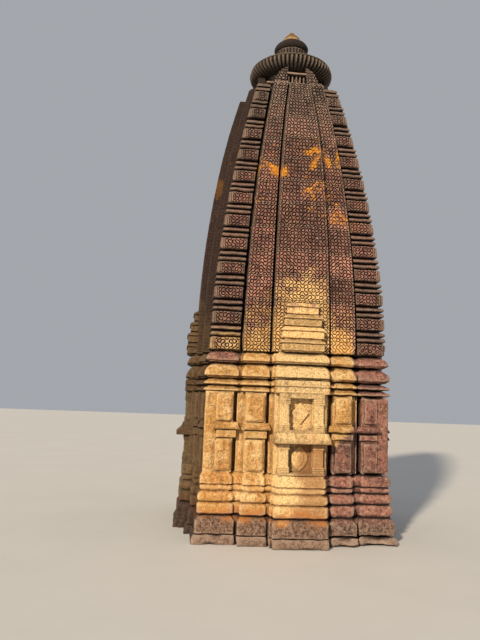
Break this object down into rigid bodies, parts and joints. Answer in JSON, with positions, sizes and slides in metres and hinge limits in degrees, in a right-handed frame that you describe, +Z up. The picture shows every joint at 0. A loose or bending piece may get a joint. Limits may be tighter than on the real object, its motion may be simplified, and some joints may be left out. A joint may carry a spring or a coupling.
{
  "type": "hindu temple, a single stone shrine with a curved tower",
  "caption": "Small free-standing stone shrine: a moulded plinth, walls with niches, a doorway and a square room, under a tall curved banded tower with a ribbed disc and finial.",
  "frame": {"origin": "centre of the footing's underside, on the tower's axis at ground level", "axes": "+Z up the tower, -Y the side seen in the picture, +Y the side with the doorway"},
  "size_m": [3.04, 3.025, 7.62],
  "materials": {
    "plinth_stone": "weathered sandstone, stained dark at the foot",
    "wall_stone": "weathered golden ochre sandstone",
    "spire_stone": "carved red-brown sandstone with dark patina and grey lichen",
    "crown_stone": "grey-brown sandstone with dark moss",
    "finial_stone": "orange stained sandstone"
  },
  "bodies": {
    "root": {"footing_course": "plinth_stone", "plinth_front": "plinth_stone", "plinth_right": "plinth_stone", "plinth_left": "plinth_stone", "plinth_back_left": "plinth_stone", "plinth_back_right": "plinth_stone", "corner_pier_front_left": "wall_stone", "corner_pier_front_right": "wall_stone", "corner_pier_back_right": "wall_stone", "corner_pier_back_left": "wall_stone", "wall_front": "wall_stone", "wall_right": "wall_stone", "wall_left": "wall_stone", "wall_back_left": "wall_stone", "wall_back_right": "wall_stone", "niche_frame_front": "wall_stone", "niche_frame_right": "wall_stone", "niche_frame_left": "wall_stone", "door_jamb_left": "wall_stone", "door_jamb_right": "wall_stone", "door_lintel": "wall_stone", "door_threshold": "wall_stone", "eave_lower": "wall_stone", "eave_upper": "wall_stone", "cornice_lower": "wall_stone", "cornice_upper": "wall_stone", "spire_core": "spire_stone", "spire_corner_front_left": "spire_stone", "spire_corner_front_right": "spire_stone", "spire_corner_back_right": "spire_stone", "spire_corner_back_left": "spire_stone", "spire_face_front": "spire_stone", "spire_face_right": "spire_stone", "spire_face_back": "spire_stone", "spire_face_left": "spire_stone", "foot_shrine_front": "wall_stone", "foot_shrine_right": "wall_stone", "foot_shrine_back": "wall_stone", "foot_shrine_left": "wall_stone", "crown_slab": "spire_stone", "neck": "crown_stone", "amalaka": "crown_stone", "petal_ring": "crown_stone", "cap_disc": "crown_stone", "finial": "finial_stone"}
  },
  "joints": []
}
